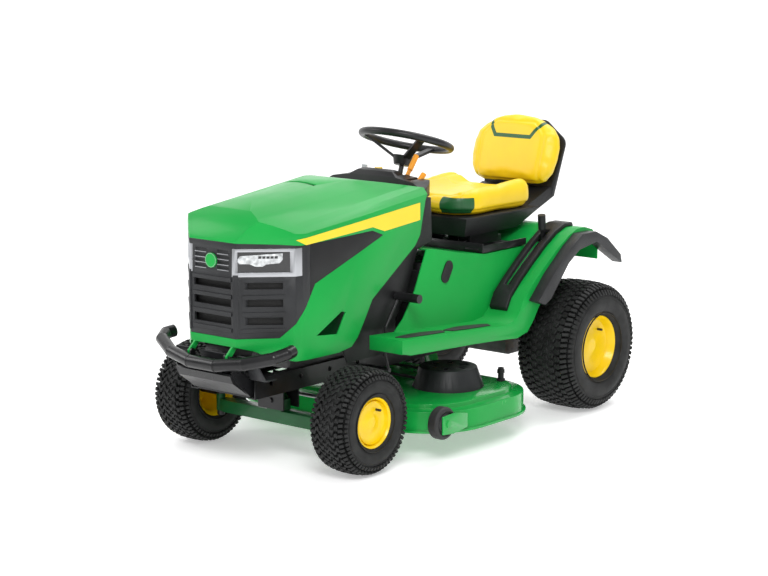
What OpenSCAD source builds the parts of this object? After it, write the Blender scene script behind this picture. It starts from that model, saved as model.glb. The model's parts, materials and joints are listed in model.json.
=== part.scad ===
// Riding lawn mower. Front is -Y, the tractor's left is +X, the ground is z = 0
// and the origin is on the ground under the middle of the rear axle.

/* [Overall] */
// Distance between the front and rear axles
wheelbase = 1280; // [1180:10:1400]
// Centreline to the middle of a front tyre
front_track = 372; // [360:1:400]
// Centreline to the middle of a rear tyre
rear_track = 386; // [386:1:430]
// Half the width of the hood at its rear edge
hood_half = 270; // [255:1:290]
// Height of the hood's top ridge
hood_top = 967; // [940:1:1000]

/* [Wheels] */
// Rear tyre radius
rear_r = 250; // [230:1:262]
// Rear tyre width
rear_w = 258; // [200:1:262]
// Rear rim flange radius
rear_rim_r = 120; // [105:1:135]
// Front tyre radius
front_r = 186.5; // [170:0.5:195]
// Front tyre width
front_w = 163; // [130:1:168]
// Front rim flange radius
front_rim_r = 88; // [78:1:100]
// Tyre carcass thickness
tyre_t = 9; // [6:1:14]
// Rim sheet thickness
rim_t = 4; // [3:0.5:6]
// Axle shaft radius
shaft_r = 9.5; // [8:0.5:12]
// Radial clearance of every running fit
run_gap = 0.08; // [0.05:0.01:0.1]

/* [Frame] */
// Outside of the frame rails, from the centreline
rail_x = 152; // [130:1:160]
// Frame rail height
rail_h = 70; // [50:1:75]
// Height of the bottom of the rails
rail_z = 275; // [275:1:290]
// Frame sheet thickness
rail_t = 4; // [3:0.5:5]
// Hitch pin hole radius
hitch_r = 9.5; // [8:0.5:13]
// Hitch plate thickness
hitch_t = 6; // [5:0.5:10]
// Radius of the bolt holes in the rear frame plate
bolt_r = 5.25; // [3:0.25:7]
// Width and height of the rear bolt pattern
bolt_dx = 160; // [120:1:200]
bolt_dz = 40; // [30:1:50]

/* [Steering] */
// Outer radius of the steering wheel
wheel_r = 180; // [160:1:185]
// Radius of the steering wheel rim's tube
wheel_tube = 14; // [10:1:16]
// Tilt of the steering column from upright
column_tilt = 17; // [12:1:20]
// Centreline to the kingpins
kingpin_x = 283; // [276:1:284]
// Length of the steering arms
arm_l = 90; // [75:1:100]

/* [Bodywork] */
// Hood wall
hood_t = 5; // [4:0.5:7]
// Outside of the fenders, from the centreline
fender_x = 405; // [390:1:420]
// Outside of the body wall between the fenders, from the centreline
wall_x = 262; // [256:1:268]
// Fender sheet thickness
fender_t = 5; // [4:0.5:7]
// Clearance between parts that move past each other
gap = 4; // [3:0.5:6]
// Bumper tube radius
bumper_r = 22; // [18:1:23]

/* [Seat] */
// Width of the seat cushion
seat_w = 450; // [400:1:470]
// Length of the seat cushion
seat_l = 490; // [430:1:500]
// Width of the seat plate
plate_w = 530; // [480:1:530]

/* [Mower deck] */
// Centreline to the deck's outer skirt
deck_half = 520; // [516:1:530]
// Front edge of the deck
deck_front = -1030; // [-1038:1:-1000]
// Rear edge of the deck
deck_rear = -392; // [-410:1:-370]
// Height of the deck's lip above the ground
deck_lip_z = 90; // [84:1:96]
// Height of the skirt
deck_h = 76; // [66:1:80]
// Deck sheet thickness
deck_t = 4; // [3:0.5:5]
// Centreline to each blade spindle
spindle_x = 262; // [258:1:266]
// Blade tip radius
blade_r = 250; // [220:1:254]
// Gauge wheel radius
gauge_r = 58; // [50:1:60]

/* [Hidden] */
$fn = 48;
FINE = 96;

front_y = -wheelbase;
rear_track_in = rear_track - rear_w / 2;

green = [0.13, 0.62, 0.26];
deep_green = [0.05, 0.33, 0.16];
yellow = [0.99, 0.84, 0.02];
black = [0.09, 0.09, 0.1];
charcoal = [0.2, 0.2, 0.21];
steel = [0.7, 0.71, 0.73];
orange = [0.95, 0.6, 0.12];

// ---- helpers ----

// Points of an arc about c from angle a0 to a1
function arc(c, r, a0, a1, n = 10) =
    [for (i = [0:n]) c + r * [cos(a0 + (a1 - a0) * i / n), sin(a0 + (a1 - a0) * i / n)]];

// Extrudes a (y, z) outline from x0 to x1
module yz(x0, x1) translate([x0, 0, 0]) rotate([90, 0, 90]) linear_extrude(x1 - x0) children();

// Extrudes an (x, z) outline from y0 to y1
module xz(y0, y1) translate([0, y1, 0]) rotate([90, 0, 0]) linear_extrude(y1 - y0) children();

module pair() {
    children();
    mirror([1, 0, 0]) children();
}

// A round bar from p to q
module bar(p, q, r, fn = 32) {
    d = q - p;
    translate(p) rotate([0, acos(d.z / norm(d)), atan2(d.y, d.x)]) cylinder(h = norm(d), r = r, $fn = fn);
}

// A round bar through a list of points, with slightly fuller ball corners
ball_over = 0.3;
module bent_bar(pts, r) {
    for (i = [0:len(pts) - 2]) bar(pts[i], pts[i + 1], r);
    for (i = [1:len(pts) - 2]) translate(pts[i]) sphere(r = r + ball_over, $fn = 32);
}

// A cylinder along X, centred on x
module along_x(x, y, z, r, l) translate([x - l / 2, y, z]) rotate([0, 90, 0]) cylinder(h = l, r = r);

// ---- wheels ----

bead_gap = 0.4;

// Tyre turned about X at the origin: a carcass open towards the rim
module tyre(r, w, bead_r, rim_r) {
    shoulder = 0.24 * w;
    crown = 4;
    seat_half = w * 0.36 - rim_t - 1;
    outer = concat(
        [[bead_r + bead_gap, -seat_half], [rim_r + 2, -seat_half - 8], [rim_r + 9, -w * 0.46]],
        arc([r - shoulder - crown, -w / 2 + shoulder], shoulder, -90, 0, 8),
        [[r, 0]],
        arc([r - shoulder - crown, w / 2 - shoulder], shoulder, 0, 90, 8),
        [[rim_r + 9, w * 0.46], [rim_r + 2, seat_half + 8], [bead_r + bead_gap, seat_half]]);
    s = shoulder - tyre_t;
    inner = concat(
        [[bead_r + bead_gap, seat_half - tyre_t]],
        arc([r - shoulder - crown, w / 2 - shoulder], s, 90, 0, 8),
        arc([r - shoulder - crown, -w / 2 + shoulder], s, 0, -90, 8),
        [[bead_r + bead_gap, -seat_half + tyre_t]]);
    rotate([0, 90, 0]) rotate_extrude($fn = FINE) polygon(concat(outer, inner));
}

// Rim turned about X at the origin, face towards +X: barrel, flanges, dished disc and hub
module rim(r, w, bead_r, hub_l) {
    half = w * 0.36;
    disc_x = half * 0.45;
    hub_r = 24;
    bore = shaft_r + run_gap;
    rotate([0, 90, 0]) rotate_extrude($fn = FINE) union() {
        polygon([[bead_r - rim_t, -half], [r, -half - 8], [r, -half - 8 + rim_t],
            [bead_r, -half + rim_t], [bead_r, half - rim_t], [r, half + 8 - rim_t],
            [r, half + 8], [bead_r - rim_t, half]]);
        polygon([[hub_r - 1, disc_x - 14], [bead_r * 0.62, disc_x - 14], [bead_r - rim_t, disc_x + 12],
            [bead_r - rim_t, disc_x + 12 + rim_t], [bead_r * 0.6, disc_x - 14 + rim_t],
            [hub_r - 1, disc_x - 14 + rim_t]]);
        translate([bore, -hub_l / 2]) square([hub_r - bore, hub_l]);
    }
    valve_r = 0.8 * bead_r;
    rotate([150, 0, 0]) translate([disc_x + 4, valve_r, 0]) rotate([0, 90, 0]) cylinder(h = 26, r = 4.5);
}

front_bead = front_rim_r - 12;
rear_bead = rear_rim_r - 16;
front_hub = 70;
rear_hub = 90;

module tyre_front_left() color(black) translate([front_track, front_y, front_r])
    tyre(front_r, front_w, front_bead, front_rim_r);
module tyre_front_right() mirror([1, 0, 0]) tyre_front_left();
module rim_front_left() color(yellow) translate([front_track, front_y, front_r])
    rim(front_rim_r, front_w, front_bead, front_hub);
module rim_front_right() mirror([1, 0, 0]) rim_front_left();
module tyre_rear_left() color(black) translate([rear_track, 0, rear_r])
    tyre(rear_r, rear_w, rear_bead, rear_rim_r);
module tyre_rear_right() mirror([1, 0, 0]) tyre_rear_left();
module rim_rear_left() color(yellow) translate([rear_track, 0, rear_r])
    rim(rear_rim_r, rear_w, rear_bead, rear_hub);
module rim_rear_right() mirror([1, 0, 0]) rim_rear_left();

// ---- transaxle and rear axle shafts ----

axle_in = 62;
tube_end = rear_track_in - 14;
shaft_end = rear_track + rear_hub / 2 + 12;

module axle_shaft_left() color(steel) {
    along_x((axle_in + shaft_end) / 2, 0, rear_r, shaft_r, shaft_end - axle_in);
    along_x(shaft_end + 4, 0, rear_r, shaft_r + 5, 8);
}
module axle_shaft_right() mirror([1, 0, 0]) axle_shaft_left();

module transaxle() color(charcoal) difference() {
    union() {
        translate([-110, -85, rear_r - 60]) cube([220, 150, 112]);
        pair() along_x((100 + tube_end) / 2, 0, rear_r, 23, tube_end - 100);
        translate([40, -30, rear_r + 50]) cylinder(h = 26, r = 48);
        translate([-105, -60, rear_r - 72]) cube([210, 100, 14]);
    }
    pair() along_x((axle_in - 2 + tube_end + 2) / 2, 0, rear_r, shaft_r + run_gap, tube_end - axle_in + 4);
}

// ---- frame ----

rail_front = -1560;
rail_rear = 120;
rail_top = rail_z + rail_h;
hitch_y = 165;
hitch_z = rail_z + 8;

// C-section rail with its row of holes
module rail() {
    difference() {
        translate([rail_x - rail_t, rail_front, rail_z]) cube([rail_t, rail_rear - rail_front, rail_h]);
        for (y = [-1480:150:-130]) along_x(rail_x, y, rail_z + rail_h * 0.62, 9, 20);
        for (y = [-1120:30:-1000]) along_x(rail_x, y, rail_z + rail_h * 0.3, 5, 20);
    }
    for (z = [rail_z, rail_top - rail_t])
        translate([rail_x - 34, rail_front, z]) cube([34, rail_rear - rail_front, rail_t]);
}

module frame_rails() color(charcoal) {
    difference() {
        union() {
            pair() rail();
            for (y = [-900, -400])
                translate([-rail_x + rail_t, y, rail_z + rail_t]) cube([2 * (rail_x - rail_t),
                    rail_t, rail_h - 2 * rail_t]);
            translate([-rail_x + 30, rail_front, rail_z + rail_t - 1]) cube([2 * (rail_x - 30),
                rail_t, rail_h - 2 * rail_t + 2]);
            translate([-rail_x, rail_rear, rail_z - 5]) cube([2 * rail_x, rail_t, rail_h + 10]);
            // front axle saddle: two plates that carry the pivot pin
            for (y = [front_y - 42, front_y + 36])
                translate([-60, y, axle_z + 26]) cube([120, 6, rail_z - axle_z - 26 + 20]);
            translate([-rail_x + 4, front_y - 42, rail_z + rail_t]) cube([2 * rail_x - 8, 84, 5]);
        }
        for (x = [-bolt_dx / 2, bolt_dx / 2], z = [-bolt_dz / 2, bolt_dz / 2])
            translate([x, rail_rear - 1, rail_z + rail_h / 2 + z]) rotate([-90, 0, 0])
                cylinder(h = rail_t + 2, r = bolt_r);
    }
    translate([0, front_y - 48, axle_pin_z]) rotate([-90, 0, 0]) cylinder(h = 96, r = axle_pin_r);
}

module hitch_plate() color(charcoal) difference() {
    union() {
        translate([-55, rail_rear + rail_t, hitch_z]) cube([110, hitch_y - rail_rear - rail_t, hitch_t]);
        translate([0, hitch_y, hitch_z]) cylinder(h = hitch_t, r = 34);
        translate([-55, rail_rear + rail_t, hitch_z]) cube([110, hitch_t, 34]);
    }
    translate([0, hitch_y, hitch_z - 1]) cylinder(h = hitch_t + 2, r = hitch_r);
}

// ---- engine, battery, tank ----

engine_y = -1215;
crank_y = -1170;

module engine() color(charcoal) {
    translate([-135, engine_y - 150, rail_top]) cube([270, 300, 90]);
    translate([0, engine_y, rail_top + 90]) cylinder(h = 200, r = 165);
    translate([0, engine_y, rail_top + 290]) cylinder(h = 60, r1 = 165, r2 = 110);
    translate([60, engine_y + 150, rail_top + 40]) cube([120, 120, 130]);
    translate([-170, engine_y + 150, rail_top + 40]) cube([120, 120, 130]);
    // drive pulley under the crankshaft
    translate([0, crank_y, rail_z - 34]) cylinder(h = 44 + rail_h, r = 14);
    translate([0, crank_y, rail_z - 34]) cylinder(h = 20, r = 55);
    // muffler across the front, with its inlet and outlet
    translate([-130, -1460, rail_top + 60]) rotate([0, 90, 0]) cylinder(h = 220, r = 48);
    translate([60, -1420, rail_top + 40]) cube([24, 60, 40]);
    translate([-80, -1460, rail_top - 20]) cylinder(h = 60, r = 16);
}

module battery() color(black) {
    translate([-225, -330, 432]) cube([130, 190, 150]);
    for (y = [-295, -175]) translate([-200, y, 582]) cylinder(h = 14, r = 8);
}

module fuel_tank() color(charcoal) {
    translate([110, -740, 440]) cube([wall_x - fender_t - 12 - 110, 270, 170]);
    translate([170, -690, 610]) cylinder(h = 26, r = 30);
}

// ---- fender pan ----

// Top line of the fender, from the front of the footrest to the tail
fender_line = [
    [-1088, 436], [-700, 412], [-500, 398], [-440, 404], [-405, 430], [-378, 478], [-320, 528],
    [-240, 588], [-160, 643], [-90, 683], [-30, 704], [20, 704], [70, 690], [110, 655]
];
// Lower edge of the side flange, back to front
flange_line = [
    [86, 632], [20, 640], [-40, 640], [-90, 622], [-150, 580], [-215, 520], [-262, 459],
    [-309, 394], [-350, 352], [-416, 338], [-560, 350], [-679, 358], [-1040, 376], [-1088, 388]
];

// Line of the body between the fenders, from the dash to where the fender line takes over
tunnel_line = [[-775, 702], [-700, 691], [-560, 660], [-425, 641], [-172, 641]];
tail = len(fender_line) - 1;
rear_line = [for (i = [8:tail]) fender_line[i]];
body_line = concat(tunnel_line, rear_line);

function back_along(pts, dz) = [for (i = [len(pts) - 1:-1:0]) pts[i] - [0, dz]];

module fender_side() {
    yz(wall_x - fender_t, fender_x) polygon(concat(fender_line, back_along(fender_line, fender_t)));
    // rolled flange round the outer edge
    yz(fender_x - fender_t, fender_x) polygon(concat(fender_line, flange_line));
    // flange across the front of the footrest
    translate([wall_x - fender_t, -1088, 386]) cube([fender_x - wall_x + fender_t, fender_t, 48]);
    // body wall from the footrest up to the seat deck
    yz(wall_x - fender_t, wall_x) polygon(concat(tunnel_line, [[-164, 636]],
        back_along([for (i = [1:7]) fender_line[i]], fender_t), [[-960, 424], [-905, 470], [-842, 559]]));
}

// Slot in the fender and the console that the lift lever runs in
module lift_slot() yz(lever_x - 13, lever_x + 13) polygon(concat(
    arc([lever_y, lever_z], 250, lever_hi - 6, lever_lo + 6, 14),
    arc([lever_y, lever_z], 420, lever_lo + 6, lever_hi - 6, 14)));

module fender_pan() color(green) difference() {
    union() {
        pair() fender_side();
        // seat deck and tunnel between the two walls
        yz(-wall_x, wall_x) polygon(concat(body_line, back_along(body_line, fender_t)));
        // tail panel
        translate([-fender_x, 105, 570]) cube([2 * fender_x, fender_t, 82]);
    }
    lift_slot();
    // way through for the steering column and its shroud
    translate([-shroud_x - gap / 2, -790, 640]) cube([2 * shroud_x + gap, 150, 80]);
    // filler neck, battery and service opening under the seat
    translate([-150, -380, 600]) cube([240, 200, 60]);
}

pad_t = 3;
// Wavy anti-slip pad on each footrest, in the floor's plane
module foot_pad(y0, y1, bulge) {
    steps = 12;
    wave = [for (i = [0:steps]) [y0 + (y1 - y0) * i / steps, bulge * sin(180 * i / steps)]];
    outline = concat([for (p = wave) [fender_x - 60 - p[1], p[0]]],
        [for (i = [steps - 1:-1:1]) [fender_x - 30 + wave[i][1] * 0.2, wave[i][0]]]);
    linear_extrude(60) polygon(outline);
}
module foot_pads() color(black) pair() intersection() {
    union() {
        translate([0, 0, 380]) foot_pad(-1055, -790, 18);
        translate([0, 0, 380]) foot_pad(-785, -520, 22);
    }
    yz(wall_x, fender_x) polygon([[-1088, 436], [-700, 412], [-500, 398], [-500, 398 + pad_t],
        [-700, 412 + pad_t], [-1088, 436 + pad_t]]);
}

module fuel_window() color(black) yz(wall_x, wall_x + 4) polygon(concat(
    arc([-648, 622], 23, -30, 150, 10), arc([-668, 588], 23, 150, 330, 10)));

// ---- dash ----

tower_x = 232;
tower_line = [
    [-1180, 349], [-1205, 405], [-1150, 470], [-1092, 560], [-1075, 590], [-850, 748], [-838, 905],
    [-713, 880], [-706, 722], [-790, 700], [-850, 559], [-915, 468], [-915, 349]
];
tower_void = [
    [-1300, 300], [-1300, 420], [-1158, 480], [-1082, 598], [-862, 752], [-846, 899], [-720, 874],
    [-713, 727], [-795, 706], [-857, 561], [-921, 470], [-921, 300]
];

shroud_x = 62;
module dash_tower() color(charcoal) difference() {
    union() {
        difference() {
            yz(-tower_x, tower_x) polygon(tower_line);
            yz(-tower_x + 5, tower_x - 5) polygon(tower_void);
        }
        // shroud round the steering column
        yz(-shroud_x, shroud_x) polygon([[-790, 700], [-725, 640], [-690, 640], [-648, 762],
            [-606, 862], [-606, 880], [-713, 880]]);
    }
    // way through for the steering column
    column_space(column_r + gap);
}

dash_line = [
    [-838, 906], [-768, 910], [-765, 948], [-750, 964], [-728, 969], [-704, 960], [-672, 938],
    [-640, 922], [-606, 906], [-574, 892], [-570, 880], [-576, 868], [-606, 880.5], [-713, 880.5]
];
module dash_panel() color(black) difference() {
    intersection() {
        yz(-tower_x, tower_x) polygon(dash_line);
        linear_extrude(1200) polygon(concat([[-tower_x, -900], [-tower_x, -760]],
            arc([0, -809], 237, 168, 12, 16), [[tower_x, -760], [tower_x, -900]]));
        xz(-900, -500) polygon([[-tower_x, 800], [-tower_x, 912], [-190, 934], [-112, 946], [-70, 970],
            [70, 970], [112, 946], [190, 934], [tower_x, 912], [tower_x, 800]]);
    }
    column_space(column_r + gap);
    translate([pto_x, pto_y, 800]) cylinder(h = 200, r = pto_stem_r + run_gap);
    translate([key_x, key_y, 800]) cylinder(h = 200, r = key_r + run_gap);
    for (x = [park_x, cruise_x]) translate([x - 11, lever_slot_y - 30, 850]) cube([22, 112, 200]);
}

// ---- steering column and wheel ----

wheel_y = -568;
wheel_z = 1058;
column_r = 20;
steer_shaft_r = 9;
hub_drop = 78;

// Places children at the wheel's centre with Z along the column
module on_column() translate([0, wheel_y, wheel_z]) rotate([-column_tilt, 0, 0]) children();
module column_space(r) on_column() translate([0, 0, -620]) cylinder(h = 560, r = r);

module steering_column() color(charcoal) difference() {
    union() {
        on_column() translate([0, 0, -600]) cylinder(h = 470, r = column_r);
        // upright plate on the rails that holds the column's foot
        translate([-rail_x, -752, rail_top]) cube([2 * rail_x, 8, 150]);
        translate([-rail_x, -790, rail_top]) cube([2 * rail_x, 40, 5]);
    }
    column_space(steer_shaft_r + run_gap);
}

module steering_wheel() color(black) on_column() {
    rotate_extrude($fn = FINE) translate([wheel_r - wheel_tube, 0]) circle(r = wheel_tube, $fn = 24);
    spoke_run = wheel_r - wheel_tube - 6 - 22;
    spoke_tilt = atan2(hub_drop - 5, spoke_run);
    for (a = [90, 210, 330]) rotate(a) translate([22, -14, -hub_drop]) rotate([0, -spoke_tilt, 0])
        cube([spoke_run / cos(spoke_tilt), 28, 10]);
    translate([0, 0, -hub_drop - 16]) cylinder(h = 34, r1 = 30, r2 = 40);
    translate([0, 0, -590]) cylinder(h = 580 - hub_drop, r = steer_shaft_r);
}

// ---- dash controls ----

pto_x = -62;
pto_y = -655;
pto_stem_r = 6;
key_x = -125;
key_y = -660;
key_r = 8;
park_x = 92;
cruise_x = 150;
lever_slot_y = -715;

pto_z = 942;
key_z = 936;
module pto_knob() color(yellow) {
    translate([pto_x, pto_y, pto_z - 40]) cylinder(h = 46, r = pto_stem_r);
    translate([pto_x, pto_y, pto_z]) cylinder(h = 20, r1 = 17, r2 = 14);
}
module ignition_key() color(steel) {
    translate([key_x, key_y, key_z - 40]) cylinder(h = 48, r = key_r);
    translate([key_x - 12, key_y - 2, key_z + 8]) cube([24, 4, 24]);
}
// A dash lever that pivots about X at (lever_slot_y, 900)
lever_pivot_z = 895;
module dash_lever(x, reach, tilt) translate([x, lever_slot_y, lever_pivot_z]) rotate([-tilt, 0, 0]) {
    translate([-4, -7, 0]) cube([8, 14, reach * 0.6]);
    rotate([0, 90, 0]) translate([0, 0, -5]) cylinder(h = 10, r = 9);
    translate([0, 0, reach * 0.58]) cylinder(h = reach * 0.42, r = 10);
}
module park_lever() color(orange) dash_lever(park_x, 150, 38);
module cruise_lever() color(orange) dash_lever(cruise_x, 85, 48);

// ---- bumper ----

bumper_pts = [
    [-278, -1512, 452], [-284, -1545, 448], [-262, -1585, 436], [-170, -1632, 412], [-60, -1655, 397],
    [60, -1655, 397], [170, -1632, 412], [262, -1585, 436], [284, -1545, 448], [278, -1512, 452]
];
hood_pin_y = -1622;
hood_pin_z = 423;
hood_pin_r = 5;
ear_x = 92;

module bumper() color(black) {
    difference() {
        union() {
            bent_bar(bumper_pts, bumper_r);
            // brackets from the rails forward to the tube
            pair() yz(rail_x - 26, rail_x - 20) polygon([[-1560, rail_z + 6], [-1410, rail_z + 6],
                [-1410, rail_top - 6],
                [-1560, rail_top - 4], [-1636, 396], [-1650, 380], [-1630, 345]]);
            // skid plate under the tube
            yz(-rail_x + 25, rail_x - 25) polygon([[-1560.5, rail_z + 8], [-1564, rail_z + 16],
                [-1648, 374], [-1654, 368], [-1640, 340]]);
            // hood hinge ears with their pins
            pair() yz(ear_x - 16, ear_x - 10) polygon(concat(arc([hood_pin_y, hood_pin_z],
                11, 0, 180, 8), [[-1648, 372], [-1600, 340]]));
        }
    }
    pair() along_x(ear_x - 4, hood_pin_y, hood_pin_z, hood_pin_r, 26);
}

cover_line = [
    [-1570, rail_top], [-1516, rail_top], [-1516, rail_top + 6], [-1564, rail_top + 6],
    [-1583, 400], [-1596, 430], [-1601, 427]
];
module bumper_cover() color(charcoal) difference() {
    intersection() {
        yz(-225, 225) polygon(cover_line);
        linear_extrude(600) polygon([[-100, -1700], [100, -1700], [212, -1560], [212, -1400],
            [-212, -1400], [-212, -1560]]);
    }
    pair() translate([ear_x - 22, -1700, 370]) cube([38, 300, 100]);
    pair() translate([120, -1700, 300]) cube([18, 300, 80]);
}

// ---- hood ----

hood_front = -1602;
hood_rear = -772;
shoulder_z = 818;
shoulder_y = -1469;
shoulder_rise = 6.7;
crown_rise = 106;

// Side outline of the hood, moved inwards by t; the inner one runs out below
function hood_side(t) = concat(
    [[hood_front + t, t > 0 ? 300 : 455], [hood_front + t, 700], [hood_front + 4 + t, 815 - t]],
    [[-1565 + t / 2, 862 - t], [-1513, hood_top - 60 - t], [-1382, hood_top - 26 - t],
        [-1256, hood_top - 6 - t],
     [-1127, hood_top - t], [-1031, hood_top - 4 - t], [-900, hood_top - 20 - t],
         [hood_rear, hood_top - 44 - t]],
    t > 0 ? [[hood_rear + 60, hood_top - 55 - t], [-600, 300]] : [[-792, 880], [-822, 760],
        [-850, 725], [-1085, 565], [-1128, 496], [-1164, 443],
        [-1195, 415], [-1262, 404], [-1466, 405], [-1525, 421], [-1560, 442]]);

function hood_plan(t) = [
    [-104 + t * 0.4, hood_front + t - 0.1], [104 - t * 0.4, hood_front + t - 0.1],
        [252 - t, -1462 + t * 0.4],
    [hood_half - 8 - t, -1420], [hood_half - 2 - t, -1150], [hood_half - t, -700],
    [-hood_half + t, -700], [-hood_half + 2 + t, -1150], [-hood_half + 8 + t, -1420],
        [-252 + t, -1462 + t * 0.4]];

function crown(t) = concat(
    [[-hood_half - 5, -700], [hood_half + 5, -700], [hood_half + 5, -t]],
    [for (a = [4:8:176]) [(hood_half + 4 - t) * cos(a), (crown_rise - t) * pow(sin(a), 1.9)]],
    [[-hood_half - 5, -t]]);

module hood_block(t) intersection() {
    yz(-320, 320) polygon(hood_side(t));
    translate([0, 0, 200]) linear_extrude(900) polygon(hood_plan(t));
    translate([0, shoulder_y, shoulder_z]) rotate([shoulder_rise, 0, 0]) xz(-400, 1000) polygon(crown(t));
}

// Skin of the hood between two depths below its outer surface
module hood_skin(outer, inner) difference() {
    hood_block(outer);
    hood_block(inner);
}

// The dark front and side area of the hood, as a side outline
window_line = [[-1700, 482], [-1500, 485], [-1474, 517], [-1428, 576], [-1377, 659], [-1024, 784],
    [-1083, 806], [-1440, 796], [-1500, 802], [-1700, 812]];
split_y = -1400;
light_low = 694;
light_high = 788;
light_in = 92;
slots = [[529, 556], [590, 617], [650, 674]];

module window_region() yz(-320, 320) polygon(window_line);
module light_region(grow) pair() translate([light_in - grow, -1700, light_low - grow])
    cube([300, 1700 + split_y - 36 + 2 * grow, light_high - light_low + 2 * grow]);
module front_half() translate([-320, -1700, 400]) cube([640, 1700 + split_y, 500]);

module hood_shell() color(green) {
    difference() {
        hood_skin(0, hood_t);
        intersection() {
            window_region();
            hood_block(-2);
        }
        // air slot behind the scoop
        translate([-70, -1165, 940]) cube([140, 16, 60]);
        // side vent on each side
        yz(-320, 320) polygon([[-1372, 480], [-1245, 546], [-1225, 540], [-1268, 470]]);
    }
    // lugs that carry the hinge
    pair() difference() {
        yz(ear_x - 8, ear_x) polygon(concat(arc([hood_pin_y, hood_pin_z],
            11, 150, 330, 8), [[-1580, 452], [-1560, 452], [-1560, 470], [hood_front + 2, 470],
            [hood_front + 2, 458]]));
        along_x(ear_x, hood_pin_y, hood_pin_z, hood_pin_r + run_gap, 40);
    }
}

module grille() color(charcoal) difference() {
    intersection() {
        hood_skin(0, 12);
        window_region();
        front_half();
    }
    light_region(0);
    for (s = slots) translate([-86, -1700, s[0]]) cube([172, 200, s[1] - s[0]]);
    for (s = slots) pair() translate([128, -1700, s[0] + 2]) cube([92, 240, s[1] - s[0] - 2]);
    for (i = [0:3]) pair() translate([24, -1700, 716 + i * 18]) cube([54, 106, 9]);
}
module headlight_bezels() color(steel) difference() {
    intersection() {
        hood_skin(0, 22);
        window_region();
        light_region(0);
    }
    pair() translate([light_in + 14, -1700, light_low + 14]) cube([150, 1700 - 1468,
        light_high - light_low - 24]);
}
module headlight_lenses() color([0.85, 0.88, 0.92]) intersection() {
    hood_skin(9, 15);
    pair() translate([light_in + 14, -1700, light_low + 14]) cube([150, 1700 - 1468,
        light_high - light_low - 24]);
}
module side_panels() color(black) difference() {
    intersection() {
        hood_skin(0, 6);
        window_region();
    }
    front_half();
}
module hood_bands() color(yellow) intersection() {
    hood_skin(-1, 0);
    yz(-320, 320) polygon([[-1460, 816], [-823, 876], [-823, 814], [-1019, 797], [-1083, 818],
        [-1420, 796]]);
}
module badge() color(green) translate([0, hood_front, 742]) rotate([90, 0, 0]) cylinder(h = 6, r = 25);

// ---- front axle and steering ----

axle_z = 152;
axle_pin_z = 208;
axle_pin_r = 9.5;
beam_w = 50;
kingpin_boss_r = 16;
arm_z = 226;
ball_r = 6;

module axle_beam() color(deep_green) difference() {
    union() {
        translate([-kingpin_x + 30, front_y - beam_w / 2, axle_z - 27]) cube([2 * kingpin_x - 60,
            beam_w, 44]);
        translate([-34, front_y - beam_w / 2, axle_z]) cube([68, beam_w, axle_pin_z - axle_z]);
        translate([0, front_y - beam_w / 2, axle_pin_z]) rotate([-90, 0, 0]) cylinder(h = beam_w, r = 22);
        pair() translate([kingpin_x, front_y, axle_z - 27]) cylinder(h = 60, r = kingpin_boss_r);
        pair() translate([kingpin_x - 40, front_y - 18, axle_z - 27]) cube([30, 36, 44]);
    }
    pair() translate([kingpin_x, front_y, 0]) cylinder(h = 400, r = shaft_r + run_gap);
    translate([0, front_y - 60, axle_pin_z]) rotate([-90, 0, 0]) cylinder(h = 120,
        r = axle_pin_r + run_gap);
}

// Kingpin, stub axle and steering arm; the arms point straight back on both sides
module knuckle() {
    stub_end = front_track + front_hub / 2 + 10;
    translate([kingpin_x, front_y, axle_z - 45]) cylinder(h = 94, r = shaft_r);
    translate([kingpin_x, front_y, axle_z - 45]) cylinder(h = 17, r = 14);
    translate([kingpin_x, front_y, axle_z + 34]) cylinder(h = front_r - axle_z - 34 + 48, r = 15);
    stub_in = kingpin_x + kingpin_boss_r + 1;
    along_x((stub_in + stub_end) / 2, front_y, front_r, shaft_r, stub_end - stub_in);
    along_x(kingpin_x + 22, front_y, front_r + 12, 12, 24);
    along_x(stub_end + 4, front_y, front_r, shaft_r + 4, 8);
    difference() {
        translate([kingpin_x - 12, front_y, arm_z]) cube([20, arm_l + 12, 8]);
        translate([kingpin_x, front_y + arm_l, 0]) cylinder(h = 400, r = ball_r + run_gap);
    }
}
module knuckle_left() color(charcoal) knuckle();
module knuckle_right() color(charcoal) mirror([1, 0, 0]) knuckle();
module tie_rod() color(steel) {
    y = front_y + arm_l;
    bar([-kingpin_x, y, arm_z - 14], [kingpin_x, y, arm_z - 14], 7);
    pair() translate([kingpin_x, y, arm_z - 24]) cylinder(h = 22, r = 11);
    pair() translate([kingpin_x, y, arm_z - 10]) cylinder(h = 26, r = ball_r);
}

// ---- lift console, grabs ----

lever_x = 310;
lever_y = -70;
lever_z = 372;
lever_hi = 100;
lever_lo = 146;

console_line = [for (i = [4:11]) fender_line[i]];
console_top = [for (p = console_line) p + [-9, 16]];
module lift_console() color(black) difference() {
    yz(lever_x - 38, lever_x + 42) polygon(concat(console_line, [for (i = [len(console_top)
        - 1:-1:0]) console_top[i]]));
    lift_slot();
}

// Trim and grab handle behind each wheel arch, with a hand slot
module grab() difference() {
    yz(fender_x, fender_x + 45) polygon([[-345, 470], [-300, 452], [-262, 470], [-150, 590],
        [-80, 632], [40, 650], [120, 600],
        [214, 546], [205, 580], [110, 655], [30, 690], [-60, 690], [-130, 650], [-250, 560]]);
    yz(fender_x - 1, fender_x + 34) polygon([[-40, 640], [40, 660], [100, 632], [92, 626], [36, 652],
        [-36, 634]]);
}
module rear_grabs() color(black) pair() {
    grab();
    // bridge from the trim over the tail
    translate([fender_x - 120, 110.5, 636]) cube([121, 18, 16]);
}

// ---- seat ----

plate_front = -440;
plate_z = 646;
plate_l = 270;
tilt_z = plate_z + 6;
seat_front = -492;
back_lean = 18;

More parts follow.
